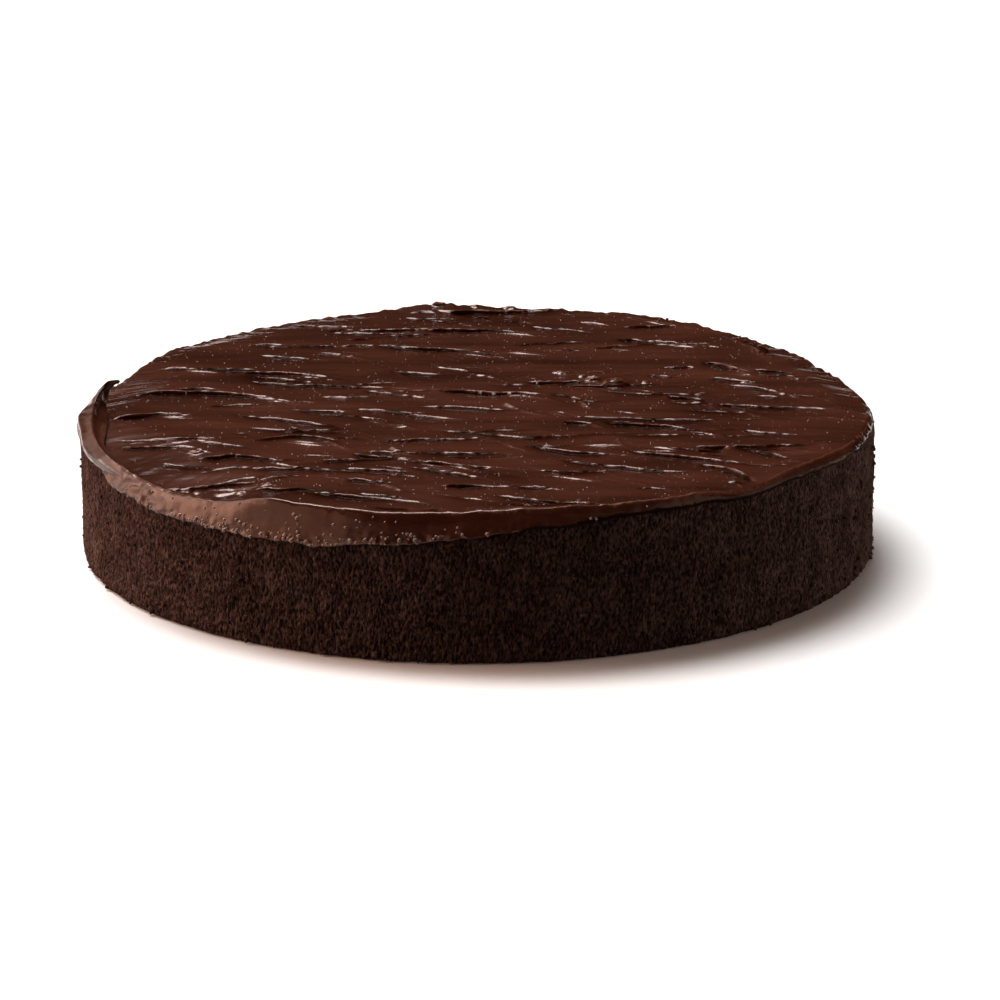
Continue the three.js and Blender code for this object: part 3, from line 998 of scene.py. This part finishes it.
def dome(segments=8, rings=3):
    """Points and faces of one small closed dome of radius 1, its flat side hidden below."""
    points = [(0.0, 0.0, 0.8)]
    for ring in range(1, rings + 1):
        tilt = math.radians(100.0 * ring / rings)
        for step in range(segments):
            turn = 2.0 * math.pi * step / segments
            across = math.sin(tilt)
            points.append((across * math.cos(turn), across * math.sin(turn), 0.8 * math.cos(tilt)))
    points.append((0.0, 0.0, -0.5))
    faces = []
    last = 1 + segments * (rings - 1)
    for step in range(segments):
        after = (step + 1) % segments
        faces.append((0, 1 + step, 1 + after))
        faces.append((last + after, last + step, len(points) - 1))
        for ring in range(rings - 1):
            low = 1 + segments * ring
            faces.append((low + step, low + segments + step, low + segments + after))
            faces.append((low + step, low + segments + after, low + after))
    return np.array(points), np.array(faces)


def unit(vectors):
    """The same directions, one long."""
    return vectors / np.linalg.norm(vectors, axis=1, keepdims=True)


def scatter(name, shape, centres, radii, ups, rng, uneven):
    """Many copies of one small shape as one mesh, each turned, sized and made uneven."""
    points, faces = shape
    count = len(centres)
    ups = unit(ups)
    side = unit(np.cross(ups, rng.normal(size=(count, 3))))
    axes = np.stack([side, np.cross(ups, side), ups], axis=1)
    local = points[None] * (1.0 + uneven * rng.normal(size=(count, len(points), 1)))
    placed = (local * radii[:, None, None]) @ axes + centres[:, None]
    numbers = faces[None] + (np.arange(count) * len(points))[:, None, None]
    return make_mesh(name, placed.reshape(-1, 3), numbers.reshape(-1, 3))


def top_up(x, y, step=0.4):
    """Direction that points straight out of the frosting's top at each place."""
    slope_x = (frosting_top(x + step, y) - frosting_top(x - step, y)) / (2.0 * step)
    slope_y = (frosting_top(x, y + step) - frosting_top(x, y - step)) / (2.0 * step)
    return np.stack([-slope_x, -slope_y, np.ones(x.shape)], axis=-1)


def bubble_mesh(settings):
    """Bubbles all over the top, and closer together along the lap's lower lip."""
    rng = np.random.default_rng(77)
    count = settings.bubbles
    on_top = int(count * TOP_BUBBLES)
    on_lap = count - on_top
    radius = FLAT_RADIUS * np.sqrt(rng.random(on_top))
    x, y = place_at(rng.uniform(0.0, 360.0, on_top), radius)
    angle = LAP_MIDDLE + rng.normal(0.0, 15.0, on_lap)
    share = 1.0 - np.minimum(rng.exponential(0.2, on_lap), 0.9)
    lap = lap_face(angle, share, bpy.context.scene.cake_frosting.lap_thickness / MM)
    points = np.concatenate([np.stack([x, y, frosting_top(x, y)], axis=-1), points_at(angle, *lap)])
    ups = np.concatenate([top_up(x, y), points_at(angle, 1.0, 0.2)])
    radii = settings.bubble_radius / MM * np.minimum(rng.lognormal(0.0, 0.42, count), 1.9)
    radii[on_top:] *= 1.3
    sunk = np.repeat([0.55, 0.25], [on_top, on_lap]) * radii
    return scatter("frosting_bubbles", dome(), points - ups * sunk[:, None], radii, ups, rng, 0.10)


def crumb_shape():
    """Points and faces of a small ball that each crumb is made from."""
    ball = bmesh.new()
    bmesh.ops.create_icosphere(ball, subdivisions=2, radius=1.0)
    ball.verts.ensure_lookup_table()
    points = np.array([vertex.co[:] for vertex in ball.verts])
    faces = np.array([[vertex.index for vertex in face.verts] for face in ball.faces])
    ball.free()
    return points, faces


def crumb_mesh(settings):
    """Loose crumbs: on the side, along the foot, and a few on the rim at the back right."""
    rng = np.random.default_rng(5)
    count = settings.crumbs
    angle = rng.uniform(-180.0, 180.0, count)
    kind = rng.random(count)
    on_rim = kind > RIM_CRUMBS
    at_right = (kind > RIGHT_CRUMBS) & (kind < RIM_CRUMBS)
    angle = np.where(at_right, rng.uniform(-35.0, 40.0, count), angle)
    z = np.where(kind < FOOT_CRUMBS, rng.uniform(0.3, 1.6, count), rng.uniform(2.0, 41.0, count))
    away = wall_radius(angle, z) + rng.uniform(-0.65, -0.1, count)
    angle = np.where(on_rim, rng.uniform(5.0, 75.0, count), angle)
    inset = at_angle(RIM_INSETS, angle) + rng.uniform(1.2, 5.0, count)
    x, y = place_at(angle, np.where(on_rim, SPONGE_RADIUS - inset, away))
    z = np.where(on_rim, frosting_top(x, y) - 0.1, z)
    keep = (z <= at_angle(LIP_HEIGHTS, angle) - 1.0) | on_rim
    radii = settings.crumb_radius / MM * rng.lognormal(0.0, 0.35, count)
    radii = np.where(on_rim, 0.8 * radii, radii)
    centres = np.stack([x, y, np.maximum(z, 1.7 * radii)], axis=-1)[keep]
    ups = rng.normal(size=centres.shape)
    return scatter("crumbs", crumb_shape(), centres, radii[keep], ups, rng, 0.22)


# ---- Materials ----


def node(tree, kind, **values):
    """Adds one node; capital names set sockets, the others set the node's own values."""
    made = tree.nodes.new(kind)
    for name, value in values.items():
        if name[0].isupper():
            made.inputs[name.replace("_", " ")].default_value = value
        else:
            setattr(made, name, value)
    return made


def new_material(name):
    """A new material, its nodes, its main shader and the places on the object."""
    material = bpy.data.materials.new(name)
    material.use_nodes = True
    tree = material.node_tree
    tree.nodes.clear()
    output = node(tree, "ShaderNodeOutputMaterial")
    shader = node(tree, "ShaderNodeBsdfPrincipled")
    tree.links.new(shader.outputs[0], output.inputs[0])
    return material, tree, shader, node(tree, "ShaderNodeTexCoord").outputs["Object"]


def stored(tree, name):
    """The number that is kept under this name for each point of the mesh."""
    return node(tree, "ShaderNodeAttribute", attribute_name=name).outputs["Fac"]


def shade(colour, share):
    return tuple(share * part for part in colour)


def noise_node(tree, coordinates, scale, detail=3.0, stretch=(1.0, 1.0, 1.0)):
    """Noise in the object's own space; scale counts lumps in a metre."""
    spread = node(tree, "ShaderNodeMapping", Scale=stretch)
    tree.links.new(coordinates, spread.inputs["Vector"])
    made = node(tree, "ShaderNodeTexNoise", Scale=scale, Detail=detail)
    tree.links.new(spread.outputs[0], made.inputs["Vector"])
    return made.outputs["Fac"]


def remap(tree, value, low, high, new_low=0.0, new_high=1.0):
    made = node(
        tree, "ShaderNodeMapRange", From_Min=low, From_Max=high, To_Min=new_low, To_Max=new_high)
    tree.links.new(value, made.inputs["Value"])
    return made.outputs["Result"]


def sum_nodes(tree, first, second, operation):
    """One value from two, by the named sum."""
    made = node(tree, "ShaderNodeMath", operation=operation)
    tree.links.new(first, made.inputs[0])
    tree.links.new(second, made.inputs[1])
    return made.outputs[0]


def mix_colours(tree, share, first, second):
    made = node(tree, "ShaderNodeMix", data_type="RGBA")
    tree.links.new(share, made.inputs[0])
    for socket, colour in ((made.inputs[6], first), (made.inputs[7], second)):
        if isinstance(colour, bpy.types.NodeSocket):
            tree.links.new(colour, socket)
        else:
            socket.default_value = (*colour, 1.0)
    return made.outputs[2]


def add_bump(tree, shader, *layers):
    """Chains bump layers, each a height and its size in metres, into the shader's normal."""
    below = None
    for height, distance in layers:
        bump = node(tree, "ShaderNodeBump", Distance=distance, Strength=1.0)
        tree.links.new(height, bump.inputs["Height"])
        if below is not None:
            tree.links.new(below, bump.inputs["Normal"])
        below = bump.outputs["Normal"]
    tree.links.new(below, shader.inputs["Normal"])


def sponge_material(settings):
    """Matt dark crumb with a fine grain and a few moist spots; the pores and fine holes are painted
    dark for the shade inside them.
    """
    material, tree, shader, place = new_material("baked_sponge")
    crumb, pore = tuple(settings.crumb_colour), tuple(settings.pore_shade_colour)
    light = shade(crumb, 1.35)
    patches = noise_node(tree, place, 120.0, 4.0)
    grain = noise_node(tree, place, 900.0, 5.0)
    holes = noise_node(tree, place, 1700.0, 2.0, (1.0, 1.0, 0.42))
    flecks = noise_node(tree, place, 1300.0, 1.0)
    colour = mix_colours(tree, remap(tree, patches, 0.3, 0.7), shade(crumb, 0.65), light)
    colour = mix_colours(tree, remap(tree, grain, 0.45, 0.75, 0.0, 0.6), colour, light)
    # Painted shade in fine holes too small for the mesh
    colour = mix_colours(tree, remap(tree, holes, 0.50, 0.36, 0.0, 0.85), colour, pore)
    colour = mix_colours(tree, remap(tree, flecks, 0.66, 0.74), colour, shade(crumb, 2.3))
    # Painted shade in the pores, the deeper parts darker
    colour = mix_colours(tree, remap(tree, stored(tree, "pore"), 0.1, 0.85), colour, pore)
    tree.links.new(colour, shader.inputs["Base Color"])
    tree.links.new(remap(tree, patches, 0.35, 0.7, 0.92, 0.62), shader.inputs["Roughness"])
    shader.inputs["Specular IOR Level"].default_value = 0.06
    add_bump(tree, shader, (holes, 0.9 * MM), (grain, 0.25 * MM))
    return material


def frosting_material(settings):
    """Dark frosting with a wet gloss and fine streaks; thin edges painted warmer for light coming
    through, furrows painted dark and matt for shade.
    """
    material, tree, shader, place = new_material("chocolate_frosting")
    thick, thin = tuple(settings.colour), tuple(settings.thin_colour)
    light = tuple(np.add(shade(thick, 0.55), shade(thin, 0.45)))
    crest, furrow_shade = stored(tree, "crest"), stored(tree, "furrow_shade")
    patches = noise_node(tree, place, 75.0, 4.0, (0.3, 1.0, 1.0))
    colour = mix_colours(tree, remap(tree, patches, 0.32, 0.68), shade(thick, 0.6), light)
    # Painted light: thin crests lighter and warmer, standing in for light that comes through the
    # frosting
    colour = mix_colours(tree, remap(tree, crest, 0.55, 0.85), colour, thin)
    # Painted shade: the furrows and the lip's underside turn dark
    colour = mix_colours(tree, remap(tree, furrow_shade, 0.0, 0.9), colour, shade(thick, 0.22))
    colour = mix_colours(tree, stored(tree, "pale"), colour, tuple(settings.pale_colour))
    tree.links.new(colour, shader.inputs["Base Color"])
    rough = settings.roughness
    skin = remap(tree, patches, 0.3, 0.75, 0.8 * rough, 1.3 * rough)
    on_crest = remap(tree, crest, 0.6, 0.9, 0.0, 1.7 * rough)
    on_lap = remap(tree, stored(tree, "lap"), 0.0, 1.0, 0.0, 1.6 * rough)
    for other in (on_crest, on_lap):
        skin = sum_nodes(tree, skin, other, "MAXIMUM")
    tree.links.new(skin, shader.inputs["Roughness"])
    shader.inputs["IOR"].default_value = 1.46
    shader.inputs["Specular Tint"].default_value = (1.0, 0.70, 0.61, 1.0)
    dents = noise_node(tree, place, 380.0, 3.0, (0.6, 1.0, 1.0))
    streaks = noise_node(tree, place, 1000.0, 3.0, (0.07, 1.0, 1.0))
    pimples = noise_node(tree, place, 1500.0, 2.0)
    add_bump(tree, shader, (dents, 0.07 * MM), (streaks, 0.035 * MM), (pimples, 0.018 * MM))
    # Painted shade: the furrows and the lip's underside turn matt, so their gloss and highlights are
    # taken out
    matt = node(tree, "ShaderNodeBsdfDiffuse")
    tree.links.new(colour, matt.inputs["Color"])
    both = node(tree, "ShaderNodeMixShader")
    parts = (remap(tree, furrow_shade, 0.08, 0.6, 0.0, 0.93), shader.outputs[0], matt.outputs[0])
    for part, socket in zip(parts, both.inputs):
        tree.links.new(part, socket)
    tree.links.new(both.outputs[0], tree.nodes["Material Output"].inputs["Surface"])
    return material


def floor_material(colour):
    """Plain pale floor with a faint fine mottle."""
    material, tree, shader, place = new_material("pale_floor")
    mottle = noise_node(tree, place, 30.0, 2.0)
    tone = mix_colours(tree, remap(tree, mottle, 0.3, 0.7), tuple(colour), shade(colour, 1.01))
    tree.links.new(tone, shader.inputs["Base Color"])
    shader.inputs["Roughness"].default_value = 1.0
    shader.inputs["Specular IOR Level"].default_value = 0.0
    return material


# ---- Stage ----

# Camera: height angle above the floor, distance from the cake's middle, and where in a
# picture 1000 pixels wide and high that middle lies
CAMERA_ANGLE = 15.93
CAMERA_DISTANCE = 1.6
FOCAL_PIXELS = 5066.4
PICTURE_PIXELS = 1000.0
MIDDLE_PIXEL = (477.6, 469.8)
MIDDLE_HEIGHT = 24.0 * MM
SENSOR_WIDTH = 36.0

# Soft lights far off: [bearing, height angle, radius, share of the main light's brightness,
# colour]
FAR_LIGHTS = (
    (121, 64, 24, 1.0, (1.0, 1.0, 1.0)),
    (150, 42, 16, 0.15, (1.0, 0.85, 0.78)),
    (170, 18, 29, 0.35, (1.0, 0.62, 0.47)),
    (212, 12, 34, 0.10, (1.0, 0.64, 0.49)),
    (-12, 24, 32, 0.045, (1.0, 0.85, 0.76)),
)

# Soft lights near the cake, in metres: place, width and height
NEAR_LIGHTS = {
    "left_light": ((-1.2, 0.55, 0.6), 2.0, 1.4),
    "right_light": ((1.1, 0.1, 0.16), 0.7, 0.3),
}
NEAR_COLOUR = (1.0, 0.78, 0.66)
AIM_HEIGHT = 0.03

# Faint warm light low in the room behind the cake, and light thrown back by the floor
BACK_GLOW = 0.195
BACK_COLOUR = (1.0, 0.42, 0.28)
FLOOR_GLOW = 0.06
FLOOR_COLOUR = (1.0, 0.93, 0.88)


def add_camera():
    tilt = math.radians(CAMERA_ANGLE)
    ahead = Vector((0.0, math.cos(tilt), -math.sin(tilt)))
    right = Vector((1.0, 0.0, 0.0))
    up = Vector((0.0, math.sin(tilt), math.cos(tilt)))
    place = Vector((0.0, 0.0, MIDDLE_HEIGHT)) - ahead * CAMERA_DISTANCE
    across = (PICTURE_PIXELS / 2.0 - MIDDLE_PIXEL[0]) / FOCAL_PIXELS
    down = (PICTURE_PIXELS / 2.0 - MIDDLE_PIXEL[1]) / FOCAL_PIXELS
    aim = ahead + right * across - up * down
    data = bpy.data.cameras.new("camera")
    data.sensor_width = SENSOR_WIDTH
    data.lens = FOCAL_PIXELS * SENSOR_WIDTH / PICTURE_PIXELS
    camera = add_object("camera", data)
    camera.location = place
    camera.rotation_euler = aim.to_track_quat("-Z", "Y").to_euler()
    bpy.context.scene.camera = camera


def add_soft_light(name, power):
    """One of the warm soft lights near the cake, turned towards it."""
    place, width, height = NEAR_LIGHTS[name]
    data = bpy.data.lights.new(name, "AREA")
    data.shape = "RECTANGLE"
    data.size = width
    data.size_y = height
    data.energy = power
    data.color = NEAR_COLOUR
    light = add_object(name, data)
    light.location = place
    aim = Vector((0.0, 0.0, AIM_HEIGHT)) - light.location
    light.rotation_euler = aim.to_track_quat("-Z", "Y").to_euler()


def add_far_lights(strength):
    """Soft round lights far off, behind and beside the cake, in a faintly lit warm room."""
    world = bpy.data.worlds.new("studio")
    world.use_nodes = True
    tree = world.node_tree
    tree.nodes.clear()
    place = node(tree, "ShaderNodeTexCoord").outputs["Generated"]
    level = node(tree, "ShaderNodeSeparateXYZ")
    tree.links.new(place, level.inputs[0])
    behind = remap(tree, level.outputs["Y"], 0.3, 0.9, 0.03, BACK_GLOW)
    rise = remap(tree, level.outputs["Z"], 0.03, 0.75)
    below = remap(tree, level.outputs["Z"], -0.25, -0.05, FLOOR_GLOW, 0.0)
    glows = [(sum_nodes(tree, rise, behind, "MULTIPLY"), BACK_COLOUR), (below, FLOOR_COLOUR)]
    for bearing, height, radius, share, colour in FAR_LIGHTS:
        turn, tilt = math.radians(bearing), math.radians(height)
        towards = (math.cos(tilt) * math.cos(turn), math.cos(tilt) * math.sin(turn), math.sin(tilt))
        nearness = node(tree, "ShaderNodeVectorMath", operation="DOT_PRODUCT")
        nearness.inputs[1].default_value = towards
        tree.links.new(place, nearness.inputs[0])
        edge = math.cos(math.radians(radius))
        patch = remap(tree, nearness.outputs["Value"], edge, lerp(edge, 1.0, 0.8))
        patch = sum_nodes(tree, patch, patch, "MULTIPLY")
        glows.append((remap(tree, patch, 0.0, 1.0, 0.0, share * strength), colour))
    total = None
    for glow, colour in glows:
        background = node(tree, "ShaderNodeBackground", Color=(*colour, 1.0))
        tree.links.new(glow, background.inputs["Strength"])
        shader = background.outputs[0]
        if total is not None:
            both = node(tree, "ShaderNodeAddShader")
            tree.links.new(total, both.inputs[0])
            tree.links.new(shader, both.inputs[1])
            shader = both.outputs[0]
        total = shader
    output = node(tree, "ShaderNodeOutputWorld")
    tree.links.new(total, output.inputs["Surface"])
    bpy.context.scene.world = world


def add_floor(settings):
    half = settings.floor_size / 2.0 / MM
    points = [(-half, -half, 0.0), (half, -half, 0.0), (half, half, 0.0), (-half, half, 0.0)]
    mesh = make_mesh("floor", points, [(0, 1, 2, 3)])
    mesh.materials.append(floor_material(settings.floor_colour))
    floor = add_object("floor", mesh)
    floor.visible_diffuse = False


# ---- Operators, panel and main ----


class CAKE_OT_add_sponge(bpy.types.Operator):
    """Make the porous round sponge"""

    bl_idname = "cake.add_sponge"
    bl_label = "Add Sponge"

    def execute(self, context):
        settings = context.scene.cake_sponge
        add_piece("cake_sponge", make_sponge(settings), sponge_material(settings), "sponge", "sponge")
        return {"FINISHED"}


class CAKE_OT_add_frosting(bpy.types.Operator):
    """Spread the frosting over the sponge, with the curl on its left rim"""

    bl_idname = "cake.add_frosting"
    bl_label = "Add Frosting"

    def execute(self, context):
        settings = context.scene.cake_frosting
        material = frosting_material(settings)
        mesh = frosting_mesh(settings)
        values = {
            "crest": crest_values, "furrow_shade": furrow_shade_values, "lap": lap_values, "pale": pale_values}
        for name, worked_out in values.items():
            store_value(mesh, name, worked_out(mesh_points(mesh)))
        add_piece("cake_frosting", mesh, material, "frosting", "frosting")
        curl = curl_mesh()
        store_value(curl, "crest", np.full(len(curl.vertices), 0.5))
        add_piece("frosting_curl", curl, material, "frosting")
        return {"FINISHED"}


class CAKE_OT_add_details(bpy.types.Operator):
    """Scatter bubbles over the frosting and crumbs over the sponge"""

    bl_idname = "cake.add_details"
    bl_label = "Add Bubbles and Crumbs"

    def execute(self, context):
        settings = context.scene.cake_details
        bubbles = bubble_mesh(settings)
        store_value(bubbles, "crest", np.full(len(bubbles.vertices), 0.6))
        points = mesh_points(bubbles)
        store_value(bubbles, "pale", np.maximum(pale_values(points), 0.35 * lap_values(points)))
        add_piece("frosting_bubbles", bubbles, bpy.data.materials["chocolate_frosting"], "frosting")
        crumbs = crumb_mesh(settings)
        store_value(crumbs, "pore", np.zeros(len(crumbs.vertices)))
        add_piece("crumbs", crumbs, bpy.data.materials["baked_sponge"], "sponge")
        return {"FINISHED"}


class CAKE_OT_add_stage(bpy.types.Operator):
    """Add the floor, the lights and the camera"""

    bl_idname = "cake.add_stage"
    bl_label = "Add Stage"

    def execute(self, context):
        settings = context.scene.cake_stage
        add_camera()
        add_floor(settings)
        add_far_lights(settings.main_light)
        add_soft_light("left_light", settings.left_light)
        add_soft_light("right_light", settings.right_light)
        context.scene.view_settings.view_transform = "Standard"
        return {"FINISHED"}


OPERATORS = (CAKE_OT_add_sponge, CAKE_OT_add_frosting, CAKE_OT_add_details, CAKE_OT_add_stage)


class CAKE_PT_sidebar(bpy.types.Panel):
    """Lists the cake's settings and the steps that make it"""

    bl_idname = "CAKE_PT_sidebar"
    bl_label = "Sticky Chocolate Cake"
    bl_space_type = "VIEW_3D"
    bl_region_type = "UI"
    bl_category = "Cake"

    def draw(self, context):
        for name in SETTINGS:
            settings = getattr(context.scene, name)
            box = self.layout.box()
            for prop in settings.bl_rna.properties:
                if prop.identifier not in {"name", "rna_type"}:
                    box.prop(settings, prop.identifier)
        for operator in OPERATORS:
            self.layout.operator(operator.bl_idname)


SETTINGS = {
    "cake_sponge": SpongeSettings,
    "cake_frosting": FrostingSettings,
    "cake_details": DetailSettings,
    "cake_stage": StageSettings,
}


def register():
    for name, group in SETTINGS.items():
        bpy.utils.register_class(group)
        setattr(bpy.types.Scene, name, PointerProperty(type=group))
    for operator in OPERATORS:
        bpy.utils.register_class(operator)
    bpy.utils.register_class(CAKE_PT_sidebar)


def unregister():
    bpy.utils.unregister_class(CAKE_PT_sidebar)
    for operator in reversed(OPERATORS):
        bpy.utils.unregister_class(operator)
    for name, group in reversed(SETTINGS.items()):
        delattr(bpy.types.Scene, name)
        bpy.utils.unregister_class(group)


def main():
    register()
    bpy.ops.cake.add_sponge()
    bpy.ops.cake.add_frosting()
    bpy.ops.cake.add_details()
    bpy.ops.cake.add_stage()


if __name__ == "__main__":
    main()
